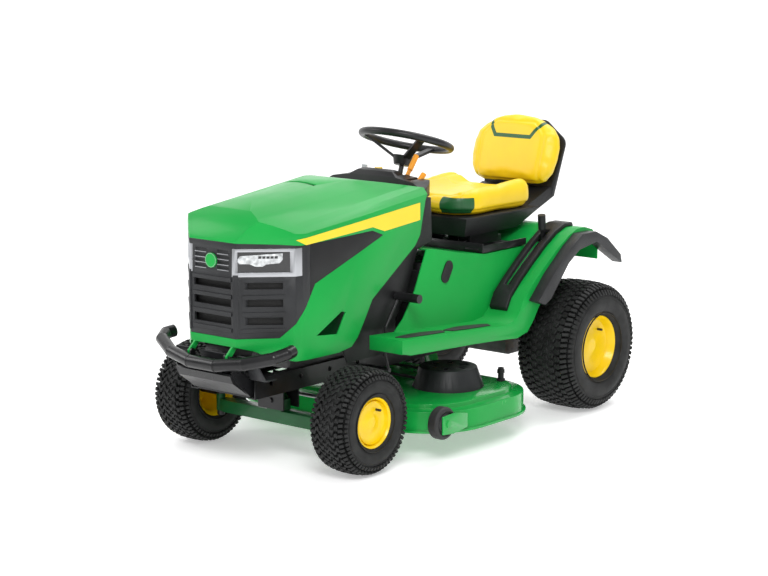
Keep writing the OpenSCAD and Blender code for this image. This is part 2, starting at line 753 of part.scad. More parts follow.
module seat_plate() color(black) {
    translate([-plate_w / 2, plate_front, plate_z]) cube([plate_w, plate_l, 6]);
    translate([-plate_w / 2, plate_front - 6, plate_z]) cube([plate_w, 6, 34]);
    pair() translate([plate_w / 2 - 6, plate_front, plate_z]) cube([6, plate_l, 26]);
    // hinge barrels that the plate tilts on
    pair() along_x(plate_w / 2 - 50, plate_front - 3, tilt_z + 3, 7, 60);
    // rails that the seat slides on
    pair() translate([120, plate_front + 30, plate_z + 6]) cube([30, plate_l - 35, 24]);
    // springs
    pair() translate([60, -200, plate_z + 6]) cylinder(h = 46, r = 24);
}

module seat_shell() color(charcoal) {
    // slide shoes over the rails
    pair() difference() {
        translate([108, -390, plate_z + 14]) cube([54, 180, 44]);
        translate([120 - gap / 4, -400, plate_z]) cube([30 + gap / 2, 220, 31]);
    }
    // pan under the cushion
    hull() {
        translate([-185, seat_front + 40, 700]) cube([370, 330, 10]);
        translate([-seat_w / 2 + 12, seat_front + 14, 764]) cube([seat_w - 24, seat_l - 30, 8]);
    }
    // arms up to the back
    hull() {
        translate([-165, -30, 730]) cube([330, 20, 40]);
        translate([-165, 120, 790]) cube([330, 34, 36]);
    }
    hull() {
        translate([-165, 136, 790]) cube([330, 18, 40]);
        for (x = [-150, 150]) translate([x, 188, 985]) rotate([90 - back_lean, 0, 0]) cylinder(h = 9,
            r = 44, $fn = 32);
        for (x = [-80, 80]) translate([x, 199, 1045]) rotate([90 - back_lean, 0, 0]) cylinder(h = 9,
            r = 36, $fn = 32);
    }
}

module seat_cushion() color(yellow) hull() {
    for (x = [-seat_w / 2 + 42, seat_w / 2 - 42]) {
        translate([x, seat_front + 42, 814]) sphere(r = 41, $fn = 24);
        translate([x, seat_front + seat_l - 42, 818]) sphere(r = 41, $fn = 24);
        translate([x, seat_front + 150, 812]) sphere(r = 38, $fn = 24);
    }
}

module seat_backrest() color(yellow) hull() {
    for (x = [-170, 170], z = [870, 980]) translate([x, 74 + (z - 818) * tan(back_lean), z])
        sphere(r = 42, $fn = 24);
    for (x = [-90, 90]) translate([x, 158, 1090]) sphere(r = 38, $fn = 24);
}

// ---- pedals ----

brake_pivot_y = -975;
brake_pivot_z = 292;
pedal_x0 = 250;

module brake_pedal() color(black) {
    bent_bar([[pedal_x0, -975, 292], [pedal_x0, -1003, 380], [pedal_x0, -990, 450],
        [pedal_x0, -920, 548]], 5);
    along_x(pedal_x0 + 42, -918, 550, 16, 106);
    along_x((rail_x + 2 + pedal_x0) / 2 + 4, brake_pivot_y, brake_pivot_z, 8, pedal_x0 - rail_x);
}

// A drive pedal on the right footrest: cross shaft, bent arm and foot plate
drive_arm_x = -246;
module drive_pedal(pivot_y, knee, foot, tilt, plate_l) {
    along_x((-rail_x - 2 + drive_arm_x) / 2, pivot_y, brake_pivot_z, 8, -rail_x - 2 - drive_arm_x);
    bent_bar([[drive_arm_x, pivot_y, brake_pivot_z], [drive_arm_x, knee.x, knee.y],
        [drive_arm_x, foot.x, foot.y]], 5);
    translate([drive_arm_x - 96, foot.x, foot.y]) rotate([tilt, 0, 0]) translate([0, -plate_l / 2,
        -4]) cube([98, plate_l, 9]);
}
forward_pivot_y = -1020;
reverse_pivot_y = -940;
module forward_pedal() color(black) drive_pedal(forward_pivot_y, [-1104, 396], [-1062, 505], 36, 60);
module reverse_pedal() color(black) drive_pedal(reverse_pivot_y, [-950, 400], [-985, 462], 20, 44);

// ---- lift lever and lift shaft ----

module lift_lever() color(black) {
    a = lever_hi;
    translate([0, lever_y, lever_z]) rotate([a - 90, 0, 0]) {
        along_x(238, 0, 0, 14, 12);
        translate([235, -9, 0]) cube([7, 18, 176]);
        translate([235, -9, 170]) cube([lever_x - 235 + 3, 18, 7]);
        translate([lever_x - 4, -9, 170]) cube([7, 18, 170]);
        translate([lever_x - 1, 0, 338]) rotate([0, 4, 0]) cylinder(h = 56, r = 15);
    }
    along_x((rail_x + 1 + 238) / 2, lever_y, lever_z, 10, 238 - rail_x - 2);
}

// Cross shaft with two arms; each arm's pin works in a slot of the deck's hanger
shaft_y = -470;
shaft_z = 302;
lift_arm = 102;
lift_half = 22.3;
hanger_x = 96;
pin_r = 6;
pin_y = shaft_y - lift_arm * cos(lift_half);
pin_z = shaft_z + lift_arm * sin(lift_half);
module lift_shaft() color(deep_green) {
    along_x(0, shaft_y, shaft_z, 10, 2 * (rail_x - rail_t) - 2 * gap);
    pair() translate([hanger_x - 12, shaft_y, shaft_z]) rotate([-lift_half, 0, 0])
        yz(0, 6) polygon([[16, -13], [-lift_arm - 10, -9], [-lift_arm - 14, 0], [-lift_arm - 10, 9],
            [16, 13]]);
    pair() along_x(hanger_x - 1, pin_y, pin_z, pin_r, 22);
}

// ---- mower deck ----

deck_top = deck_lip_z + deck_h;
spindle_y = -655;

// Deck outline grown by g
front_corner = 240;
rear_corner = 205;
function deck_plan(g) = concat(
    arc([deck_half - front_corner, deck_front + front_corner], front_corner + g, -90, 0, 10),
    arc([deck_half - rear_corner, deck_rear - rear_corner], rear_corner + g, 0, 90, 10),
    arc([-deck_half + rear_corner, deck_rear - rear_corner], rear_corner + g, 90, 180, 10),
    arc([-deck_half + front_corner, deck_front + front_corner], front_corner + g, 180, 270, 10));

module deck_shell() color(green) difference() {
    union() {
        difference() {
            translate([0, 0, deck_lip_z]) linear_extrude(deck_h) polygon(deck_plan(0));
            translate([0, 0, deck_lip_z - 1]) linear_extrude(deck_h - deck_t + 1)
                polygon(deck_plan(-deck_t));
            // open under the raised middle
            translate([0, 0, deck_top - 5]) linear_extrude(6) polygon(deck_plan(-46 - deck_t));
        }
        difference() {
            translate([0, 0, deck_top]) linear_extrude(16) polygon(deck_plan(-46));
            translate([0, 0, deck_top - 5]) linear_extrude(16 - deck_t + 5)
                polygon(deck_plan(-46 - deck_t));
        }
        // rolled lip
        difference() {
            translate([0, 0, deck_lip_z]) linear_extrude(9) polygon(deck_plan(9));
            translate([0, 0, deck_lip_z - 1]) linear_extrude(11) polygon(deck_plan(-0.5));
        }
        // spindle housings
        pair() translate([spindle_x, spindle_y, deck_top - 20]) cylinder(h = 38, r = 40);
        // gauge wheel brackets
        pair() gauge_bracket();
        // hanger plates up to the lift arms
        pair() hanger();
    }
    pair() translate([spindle_x, spindle_y, 0]) cylinder(h = 400, r = spindle_r + run_gap);
    // discharge opening on the right
    translate([-deck_half - 20, chute_y0 + 6, deck_lip_z - 5]) cube([60, chute_y1 - chute_y0 - 12,
        deck_h - 8]);
    // wash port hole
    translate([wash_x, wash_y, 100]) cylinder(h = 200, r = 9);
}

// Plate on top of the deck with the slot that a lift arm's pin works in
module hanger() difference() {
    foot_y = spindle_y + belt_r + 15;
    yz(hanger_x, hanger_x + 6) polygon([[foot_y, deck_top + 12], [foot_y + 96, deck_top + 12],
        [pin_y + 26, pin_z - 10],
        [pin_y + 26, pin_z + 16], [pin_y - 26, pin_z + 16], [pin_y - 26, pin_z - 10],
            [foot_y, pulley_z + 40]]);
    // slot: the pin's height is held, its small swing fore and aft is free
    yz(hanger_x - 1, hanger_x + 7) polygon(concat(arc([pin_y + 3, pin_z],
        pin_r + 1, -90, 90, 8), arc([pin_y - 8, pin_z], pin_r + 1, 90, 270, 8)));
}

// Plate outside each gauge wheel, carried back to the skirt, with the wheel's bolt
module gauge_bracket() {
    plate_x = gauge_x + gauge_w / 2 + 3;
    yz(plate_x, plate_x + 5) polygon([[gauge_y - 30, gauge_z + 30], [gauge_y - 30, gauge_z - 34],
        [gauge_y + 34, gauge_z - 40],
        [gauge_y + 110, gauge_z - 30], [gauge_y + 110, gauge_z + 20], [gauge_y + 40, gauge_z + 34]]);
    translate([deck_half - 32, gauge_y + 100, gauge_z - 26]) cube([plate_x - deck_half + 34, 8, 40]);
    along_x(gauge_x + 2, gauge_y, gauge_z, 8, gauge_w + 20);
    along_x(plate_x + 8, gauge_y, gauge_z, 13, 8);
}

gauge_x = 505;
gauge_y = -995;
gauge_w = 44;
gauge_z = 143;
module gauge_wheel() translate([gauge_x, gauge_y, gauge_z]) rotate([0, 90, 0])
    rotate_extrude($fn = FINE) polygon(concat(
        [[8 + run_gap, -gauge_w / 2], [30, -gauge_w / 2], [36, -gauge_w / 2 + 5]],
        arc([gauge_r - 12, -gauge_w / 2 + 12], 12, -90, 0, 6),
        arc([gauge_r - 12, gauge_w / 2 - 12], 12, 0, 90, 6),
        [[36, gauge_w / 2 - 5], [30, gauge_w / 2], [8 + run_gap, gauge_w / 2]]));
module gauge_wheel_left() color(black) gauge_wheel();
module gauge_wheel_right() color(black) mirror([1, 0, 0]) gauge_wheel();

spindle_r = 10;
pulley_z = deck_top + 34;
module blade() {
    translate([spindle_x, spindle_y, deck_lip_z + 12]) cylinder(h = pulley_z + 22 - deck_lip_z - 12,
        r = spindle_r);
    translate([spindle_x, spindle_y, deck_lip_z + 12]) cylinder(h = 14, r = 24);
    translate([spindle_x, spindle_y, deck_lip_z + 14]) {
        translate([-28, -blade_r + 6, 0]) cube([56, 2 * blade_r - 12, 5]);
    }
    translate([spindle_x, spindle_y, pulley_z]) rotate_extrude() polygon([[spindle_r - 1, 0],
        [76, 0], [63, 4], [63, 14], [76, 18], [spindle_r - 1, 18]]);
}
module blade_left() color(steel) blade();
module blade_right() color(steel) mirror([1, 0, 0]) blade();

// V-belt round both spindle pulleys
belt_r = 64;
module belt_plan(r) union() {
    for (x = [-spindle_x, spindle_x]) translate([x, spindle_y]) circle(r = r, $fn = FINE);
    translate([-spindle_x, spindle_y - r]) square([2 * spindle_x, 2 * r]);
}
module deck_belt() color(black) translate([0, 0, pulley_z + 4.5]) linear_extrude(9) difference() {
    belt_plan(belt_r + 9);
    belt_plan(belt_r);
}

cover_top = 256;
module spindle_covers() color(charcoal) pair() difference() {
    translate([spindle_x + 6, spindle_y, deck_top + 16]) cylinder(h = cover_top - deck_top - 16,
        r1 = 132, r2 = 106);
    translate([spindle_x + 6, spindle_y, deck_top + 15]) cylinder(h = cover_top - deck_top - 15 - 5,
        r1 = 127, r2 = 101);
    // belt way towards the middle
    translate([spindle_x - 200, spindle_y - 84, deck_top + 10]) cube([190, 168, 56]);
    translate([spindle_x + 6, spindle_y, cover_top - 20]) for (a = [0:60:300]) rotate(a)
        translate([45, -8, 0]) cube([32, 16, 40]);
}

wash_x = 372;
wash_y = -470;
module wash_port() color(black) difference() {
    union() {
        translate([wash_x, wash_y, deck_top + 16]) cylinder(h = 8, r = 16);
        translate([wash_x, wash_y, deck_top + 16]) cylinder(h = 50, r = 11);
        translate([wash_x, wash_y, deck_top + 46]) cylinder(h = 12, r = 14);
    }
    translate([wash_x, wash_y, 0]) cylinder(h = 400, r = 6);
}

chute_y0 = -850;
chute_y1 = -540;
chute_z = deck_top - 6;
module discharge_chute() color(black) {
    xz(chute_y0, chute_y1) polygon([[-deck_half - 14, chute_z], [-deck_half - 14, chute_z + 6],
        [-deck_half - 60, chute_z + 4], [-690, 96], [-686, 90], [-deck_half - 60, chute_z - 2]]);
    for (y = [chute_y0, chute_y1 - 5]) xz(y, y + 5) polygon([[-deck_half - 14, chute_z],
        [-deck_half - 60, chute_z], [-686, 92], [-deck_half - 14, 96]]);
    translate([-deck_half - 12, chute_y0, chute_z + 4]) rotate([-90, 0, 0])
        cylinder(h = chute_y1 - chute_y0, r = 7);
}

frame_rails();
transaxle();
hitch_plate();
engine();
battery();
fuel_tank();
fender_pan();
foot_pads();
fuel_window();
dash_tower();
dash_panel();
steering_column();
bumper();
bumper_cover();
lift_console();
rear_grabs();
hood_shell();
grille();
badge();
headlight_bezels();
headlight_lenses();
side_panels();
hood_bands();
axle_beam();
knuckle_left();
knuckle_right();
tie_rod();
tyre_front_left();
rim_front_left();
tyre_front_right();
rim_front_right();
tyre_rear_left();
rim_rear_left();
axle_shaft_left();
tyre_rear_right();
rim_rear_right();
axle_shaft_right();
steering_wheel();
seat_plate();
seat_shell();
seat_cushion();
seat_backrest();
brake_pedal();
forward_pedal();
reverse_pedal();
lift_lever();
park_lever();
cruise_lever();
pto_knob();
ignition_key();
deck_shell();
spindle_covers();
deck_belt();
wash_port();
blade_left();
blade_right();
gauge_wheel_left();
gauge_wheel_right();
discharge_chute();
lift_shaft();
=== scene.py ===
import bpy
import json
import math
from mathutils import Matrix, Vector
from mathutils.bvhtree import BVHTree


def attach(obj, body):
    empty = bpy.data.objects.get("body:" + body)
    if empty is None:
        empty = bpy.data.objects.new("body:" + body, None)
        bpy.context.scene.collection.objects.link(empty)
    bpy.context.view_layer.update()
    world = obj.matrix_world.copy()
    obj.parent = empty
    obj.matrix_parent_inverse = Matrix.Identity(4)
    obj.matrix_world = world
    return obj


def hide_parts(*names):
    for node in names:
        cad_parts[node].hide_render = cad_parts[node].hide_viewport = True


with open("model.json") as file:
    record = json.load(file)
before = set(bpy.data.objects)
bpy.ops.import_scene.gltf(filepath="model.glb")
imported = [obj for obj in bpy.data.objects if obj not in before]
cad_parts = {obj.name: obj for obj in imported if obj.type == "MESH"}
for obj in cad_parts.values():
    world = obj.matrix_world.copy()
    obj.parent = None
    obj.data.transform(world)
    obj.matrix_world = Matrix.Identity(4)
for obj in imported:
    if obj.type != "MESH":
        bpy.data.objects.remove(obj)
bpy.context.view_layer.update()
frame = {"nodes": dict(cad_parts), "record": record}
scene = bpy.context.scene
nodes = frame["nodes"]
home = {n: b for b, listed in frame["record"]["behaviour"]["bodies"].items() for n in listed}
bpy.ops.object.select_all(action="DESELECT")


# ---- finishes ----

def stuff(name, colour, rough, metal=0.0, tint=0.08, tint_size=9.0, grain=0.02, grain_size=500.0,
          cells=False, coat=0.0, coat_rough=0.1, stretch=(1, 1, 1), spec=0.5, uneven=0.08):
    """A finish with cloudy colour, uneven gloss and a fine raised grain."""
    m = bpy.data.materials.new(name)
    m.use_nodes = True
    t, links = m.node_tree.nodes, m.node_tree.links
    p = t["Principled BSDF"]
    p.inputs["Metallic"].default_value = metal
    p.inputs["Coat Weight"].default_value = coat
    p.inputs["Coat Roughness"].default_value = coat_rough
    p.inputs["Specular IOR Level"].default_value = spec
    place = t.new("ShaderNodeTexCoord")
    turn = t.new("ShaderNodeMapping")
    turn.inputs["Scale"].default_value = stretch
    links.new(place.outputs["Object"], turn.inputs["Vector"])
    cloud = t.new("ShaderNodeTexNoise")
    cloud.inputs["Scale"].default_value = tint_size
    cloud.inputs["Detail"].default_value = 5
    links.new(turn.outputs["Vector"], cloud.inputs["Vector"])
    shade = t.new("ShaderNodeValToRGB")
    low = [max(c * (1 - tint), 0) for c in colour[:3]] + [1]
    high = [min(c * (1 + tint) + tint * 0.01, 1) for c in colour[:3]] + [1]
    shade.color_ramp.elements[0].position = 0.32
    shade.color_ramp.elements[0].color = low
    shade.color_ramp.elements[1].position = 0.68
    shade.color_ramp.elements[1].color = high
    links.new(cloud.outputs["Fac"], shade.inputs["Fac"])
    links.new(shade.outputs["Color"], p.inputs["Base Color"])
    smear = t.new("ShaderNodeTexNoise")
    smear.inputs["Scale"].default_value = tint_size * 4
    smear.inputs["Detail"].default_value = 6
    links.new(turn.outputs["Vector"], smear.inputs["Vector"])
    dull = t.new("ShaderNodeMapRange")
    dull.inputs["To Min"].default_value = max(rough - uneven, 0.02)
    dull.inputs["To Max"].default_value = min(rough + uneven, 1)
    links.new(smear.outputs["Fac"], dull.inputs["Value"])
    links.new(dull.outputs["Result"], p.inputs["Roughness"])
    if cells:
        skin = t.new("ShaderNodeTexVoronoi")
        skin.inputs["Scale"].default_value = grain_size
        raised = skin.outputs["Distance"]
    else:
        skin = t.new("ShaderNodeTexNoise")
        skin.inputs["Scale"].default_value = grain_size
        skin.inputs["Detail"].default_value = 3
        raised = skin.outputs["Fac"]
    links.new(turn.outputs["Vector"], skin.inputs["Vector"])
    bump = t.new("ShaderNodeBump")
    bump.inputs["Strength"].default_value = min(grain * 10, 1)
    bump.inputs["Distance"].default_value = 0.0006
    links.new(raised, bump.inputs["Height"])
    links.new(bump.outputs["Normal"], p.inputs["Normal"])
    return m


GREEN = (0.006, 0.33, 0.052)
green_body = stuff("bright_green_bodywork", GREEN, 0.36, tint=0.07, tint_size=3, grain=0.008,
    grain_size=350, coat=0.05, coat_rough=0.1, spec=0.2)
green_steel = stuff("bright_green_painted_steel", GREEN, 0.24, tint=0.1, tint_size=6, grain=0.012,
    grain_size=260, coat=0.3, coat_rough=0.08, spec=0.35)
deep_green = stuff("dark_green_paint", (0.005, 0.085, 0.022), 0.38, tint=0.15, grain=0.012, coat=0.1,
    spec=0.3)
wheel_yellow = stuff("wheel_yellow_paint", (0.87, 0.59, 0.0), 0.33, tint=0.06, tint_size=14, grain=0.012,
    grain_size=240, coat=0.2, spec=0.35)
band_yellow = stuff("yellow_strip", (0.86, 0.62, 0.0), 0.35, tint=0.02, grain=0.004, coat=0.3)
black_plastic = stuff("grained_black_plastic", (0.010, 0.010, 0.011), 0.48, tint=0.25, grain=0.06,
    grain_size=900, spec=0.3)
dash_black = stuff("satin_black_plastic", (0.012, 0.012, 0.013), 0.38, tint=0.2, grain=0.03,
    grain_size=700, spec=0.35)
charcoal = stuff("charcoal_plastic", (0.021, 0.022, 0.024), 0.42, tint=0.2, grain=0.05, grain_size=800,
    spec=0.3)
frame_black = stuff("black_painted_steel", (0.010, 0.010, 0.011), 0.34, tint=0.3, tint_size=20, grain=0.02,
    grain_size=300, coat=0.1, spec=0.3)
tube_black = stuff("gloss_black_tube", (0.008, 0.008, 0.009), 0.3, tint=0.2, grain=0.01, grain_size=300,
    coat=0.12, coat_rough=0.08, spec=0.3)
tyre_rubber = stuff("turf_tyre_rubber", (0.012, 0.0125, 0.0125), 0.6, tint=0.35, tint_size=24, grain=0.05,
    grain_size=420, uneven=0.12, spec=0.3)
soft_rubber = stuff("moulded_rubber", (0.013, 0.013, 0.014), 0.62, tint=0.3, grain=0.05, grain_size=600)
zinc = stuff("zinc_plated_steel", (0.55, 0.56, 0.58), 0.32, metal=1.0, tint=0.12, tint_size=40, grain=0.02,
    grain_size=350, stretch=(1, 1, 4))
blade_steel = stuff("worn_blade_steel", (0.35, 0.35, 0.36), 0.42, metal=1.0, tint=0.3, tint_size=25,
    grain=0.03, stretch=(1, 6, 1))
cast_metal = stuff("cast_housing", (0.09, 0.09, 0.092), 0.5, metal=0.6, tint=0.3, tint_size=18, grain=0.1,
    grain_size=220)
bezel_silver = stuff("silver_bezel", (0.42, 0.43, 0.45), 0.3, metal=0.85, tint=0.06, grain=0.01, coat=0.3)
orange = stuff("orange_moulding", (0.86, 0.33, 0.015), 0.4, tint=0.08, grain=0.03)
tank_black = stuff("blown_tank_plastic", (0.02, 0.02, 0.022), 0.55, tint=0.2, grain=0.05, grain_size=300)
dark_screen = stuff("dark_screen", (0.004, 0.004, 0.004), 0.7, tint=0.3, grain=0.1, grain_size=260,
    cells=True)
lamp_dark = stuff("smoked_lamp_body", (0.006, 0.006, 0.007), 0.18, tint=0.2, grain=0.01, coat=0.5)
lamp_clear = stuff("faceted_lamp_lens", (0.52, 0.54, 0.55), 0.12, tint=0.45, tint_size=60, grain=0.05,
    grain_size=90, cells=True, coat=0.9, coat_rough=0.03)


def vinyl(name, stripes):
    """Yellow grained vinyl, with green areas where the given (centre, half size, tilt) boxes fall."""
    m = stuff(name, (0.87, 0.59, 0.002), 0.45, tint=0.05, tint_size=7, grain=0.035, grain_size=420,
        cells=True, coat=0.08)
    t, links = m.node_tree.nodes, m.node_tree.links
    p = t["Principled BSDF"]
    base = p.inputs["Base Color"].links[0].from_socket
    place = t.new("ShaderNodeTexCoord")
    for centre, half, tilt in stripes:
        move = t.new("ShaderNodeMapping")
        move.vector_type = "TEXTURE"
        move.inputs["Location"].default_value = centre
        move.inputs["Rotation"].default_value = tilt
        move.inputs["Scale"].default_value = half
        links.new(place.outputs["Object"], move.inputs["Vector"])
        edge = t.new("ShaderNodeVectorMath")
        edge.operation = "ABSOLUTE"
        links.new(move.outputs["Vector"], edge.inputs[0])
        split = t.new("ShaderNodeSeparateXYZ")
        links.new(edge.outputs["Vector"], split.inputs["Vector"])
        widest = t.new("ShaderNodeMath")
        widest.operation = "MAXIMUM"
        links.new(split.outputs["X"], widest.inputs[0])
        links.new(split.outputs["Y"], widest.inputs[1])
        all_three = t.new("ShaderNodeMath")
        all_three.operation = "MAXIMUM"
        links.new(widest.outputs[0], all_three.inputs[0])
        links.new(split.outputs["Z"], all_three.inputs[1])
        inside = t.new("ShaderNodeMath")
        inside.operation = "LESS_THAN"
        inside.inputs[1].default_value = 1.0
        links.new(all_three.outputs[0], inside.inputs[0])
        mix = t.new("ShaderNodeMix")
        mix.data_type = "RGBA"
        links.new(inside.outputs[0], mix.inputs["Factor"])
        links.new(base, mix.inputs["A"])
        mix.inputs["B"].default_value = (0.005, 0.09, 0.02, 1)
        base = mix.outputs["Result"]
    links.new(base, p.inputs["Base Color"])
    return m


# ---- helpers ----

def pick(o):
    bpy.ops.object.select_all(action="DESELECT")
    o.select_set(True)
    bpy.context.view_layer.objects.active = o


def edit(o):
    pick(o)
    bpy.ops.object.mode_set(mode="EDIT")
    bpy.ops.mesh.select_all(action="SELECT")


def done():
    bpy.ops.object.mode_set(mode="OBJECT")


def rest(o):
    """Puts the piece's place into its mesh."""
    pick(o)
    bpy.ops.object.transform_apply(location=True, rotation=True, scale=True)


def hand_over(o, name, body, material, smooth=35):
    rest(o)
    o.name = o.data.name = name
    o.data.materials.clear()
    o.data.materials.append(material)
    if smooth:
        pick(o)
        bpy.ops.object.shade_smooth_by_angle(angle=math.radians(smooth))
    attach(o, body)
    return o


def join(parts):
    bpy.ops.object.select_all(action="DESELECT")
    for o in parts:
        o.select_set(True)
    bpy.context.view_layer.objects.active = parts[0]
    bpy.ops.object.join()
    return bpy.context.object


def bevelled(o, width, segments=2, angle=30):
    pick(o)
    mod = o.modifiers.new("soft_edges", "BEVEL")
    mod.width = width
    mod.segments = segments
    mod.limit_method = "ANGLE"
    mod.angle_limit = math.radians(angle)
    bpy.ops.object.modifier_apply(modifier=mod.name)
    return o


def block(lo, hi, round_off=0.0, segments=2):
    bpy.ops.mesh.primitive_cube_add(size=1, location=[(a + b) / 2 for a, b in zip(lo, hi)])
    o = bpy.context.object
    o.scale = [b - a for a, b in zip(lo, hi)]
    rest(o)
    if round_off:
        bevelled(o, round_off, segments)
    return o


def copied(node, round_off=0.003, angle=30, segments=2):
    """A copy of a CAD node with its loose triangles joined and its edges broken."""
    src = nodes[node]
    o = src.copy()
    o.data = src.data.copy()
    for k in list(o.keys()):
        if k.startswith("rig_"):
            del o[k]
    bpy.context.collection.objects.link(o)
    o.parent = None
    o.matrix_world = Matrix.Identity(4)
    o.hide_render = False
    edit(o)
    bpy.ops.mesh.remove_doubles(threshold=0.00002)
    bpy.ops.mesh.dissolve_limited(angle_limit=math.radians(0.6))
    done()
    if round_off:
        bevelled(o, round_off, segments, angle)
    return o


def dressed(node, material, round_off=0.003, angle=30, smooth=40, segments=2):
    o = copied(node, round_off, angle, segments)
    hand_over(o, node + "_skin", home[node], material, smooth)
    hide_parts(node)
    return o


def mirrored(o, name, body):
    """A copy for the tractor's other side."""
    c = o.copy()
    c.data = o.data.copy()
    for k in list(c.keys()):
        if k.startswith("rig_"):
            del c[k]
    bpy.context.collection.objects.link(c)
    c.parent = None
    c.matrix_world = Matrix.Identity(4)
    c.data.transform(Matrix.Scale(-1, 4, (1, 0, 0)))
    c.data.flip_normals()
    c.name = c.data.name = name
    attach(c, body)
    return c


# ---- camera, light, floor ----

AZ, EL, FAR = math.radians(39.221), math.radians(10.623), 7.649
STUDIO_SIZE = 60
FLOOR_GLOW = 0.36
BACKDROP_GLOW = 0.8
SKY = 0.55
target = Vector((0, -0.6, 0.45))
back = Vector((math.sin(AZ) * math.cos(EL), -math.cos(AZ) * math.cos(EL), math.sin(EL)))
bpy.ops.object.camera_add(location=target + back * FAR)
camera = bpy.context.object
camera.rotation_euler = (-back).to_track_quat("-Z", "Y").to_euler()
camera.data.lens = 95.66
camera.data.sensor_width = 36
camera.data.shift_x = -0.0220
camera.data.shift_y = 0.0194
camera.data.dof.use_dof = False
scene.camera = camera

bpy.ops.mesh.primitive_plane_add(size=STUDIO_SIZE, location=(0, 0, -0.0005))
floor = bpy.context.object
floor.name = "studio_floor"
floor_white = stuff("studio_white", (0.93, 0.93, 0.93), 0.75, tint=0.01, grain=0.003, spec=0.2)
glow = floor_white.node_tree.nodes["Principled BSDF"]
glow.inputs["Emission Color"].default_value = (1, 1, 1, 1)
glow.inputs["Emission Strength"].default_value = FLOOR_GLOW
floor.data.materials.append(floor_white)

bpy.ops.mesh.primitive_plane_add(size=STUDIO_SIZE, location=target - back * 24 + Vector((0, 0, 20)),
    rotation=(math.pi / 2, 0, AZ))
backdrop = bpy.context.object
backdrop.name = "studio_backdrop"
lit_white = stuff("lit_white", (0.9, 0.9, 0.9), 0.8, tint=0.01, grain=0.003, spec=0.1)
glow = lit_white.node_tree.nodes["Principled BSDF"]
glow.inputs["Emission Color"].default_value = (1, 1, 1, 1)
glow.inputs["Emission Strength"].default_value = BACKDROP_GLOW
backdrop.data.materials.append(lit_white)

world = bpy.data.worlds.new("studio")
scene.world = world
world.use_nodes = True
world.node_tree.nodes["Background"].inputs["Color"].default_value = (1, 1, 1, 1)
world.node_tree.nodes["Background"].inputs["Strength"].default_value = SKY


def lamp(name, place, aim, size, power):
    bpy.ops.object.light_add(type="AREA", location=place)
    o = bpy.context.object
    o.name = name
    o.data.size = size
    o.data.energy = power
    o.rotation_euler = (Vector(aim) - Vector(place)).to_track_quat("-Z", "Y").to_euler()


lamp("key_light", (3.2, -4.5, 4.2), (0, -0.6, 0.4), 2.2, 190)
lamp("side_light", (-3.6, -3.4, 3.0), (0, -1.0, 0.5), 2.0, 60)
lamp("top_light", (0.5, 1.5, 4.5), (0, -0.5, 0.6), 2.4, 90)
scene.view_settings.view_transform = "Standard"

# ---- wheels ----

REAR = dict(x=0.386, y=0.0, z=0.25, r=0.25, w=0.258, rim=0.120)
FRONT = dict(x=0.372, y=-1.28, z=0.1865, r=0.1865, w=0.163, rim=0.088)


def turned(outline, wheel, steps):
    """A closed (across, radius) outline spun about the wheel's axle."""
    bpy.ops.mesh.primitive_circle_add(vertices=len(outline), radius=0.05, location=(0, 0, 0))
    o = bpy.context.object
    for v, (a, r) in zip(o.data.vertices, outline):
        v.co = (wheel["x"] + a, wheel["y"], wheel["z"] + r)
    edit(o)
    bpy.ops.mesh.spin(steps=steps, angle=2 * math.pi, center=(wheel["x"], wheel["y"], wheel["z"]),
        axis=(1, 0, 0))
    bpy.ops.mesh.select_all(action="SELECT")
    bpy.ops.mesh.remove_doubles(threshold=0.00005)
    bpy.ops.mesh.normals_make_consistent(inside=False)
    done()
    return o


def around(o, wheel, count, shift=0.0):
    """Repeats a piece round the axle."""
    made = []
    for k in range(count):
        c = o.copy()
        c.data = o.data.copy()
        bpy.context.collection.objects.link(c)
        mid = Matrix.Translation((0, wheel["y"], wheel["z"]))
        c.data.transform(mid @ Matrix.Rotation(2 * math.pi * (k + shift) / count, 4, "X") @ mid.inverted())
        made.append(c)
    bpy.data.objects.remove(o)
    return join(made)


LUG_EDGE = 0.0016
LUG_HEIGHT = 0.0135


def lug(wheel, a, r, size, turn, tip=0.0):
    """One tread block at (across, radius), turned about the radius and tipped over the shoulder."""
    bpy.ops.mesh.primitive_cube_add(size=1, location=(0, 0, 0))
    o = bpy.context.object
    o.scale = size
    rest(o)
    bevelled(o, LUG_EDGE, 1)
    o.rotation_euler = (0, math.radians(tip), math.radians(turn))
    o.location = (wheel["x"] + a, wheel["y"], wheel["z"] + r)
    rest(o)
    return o


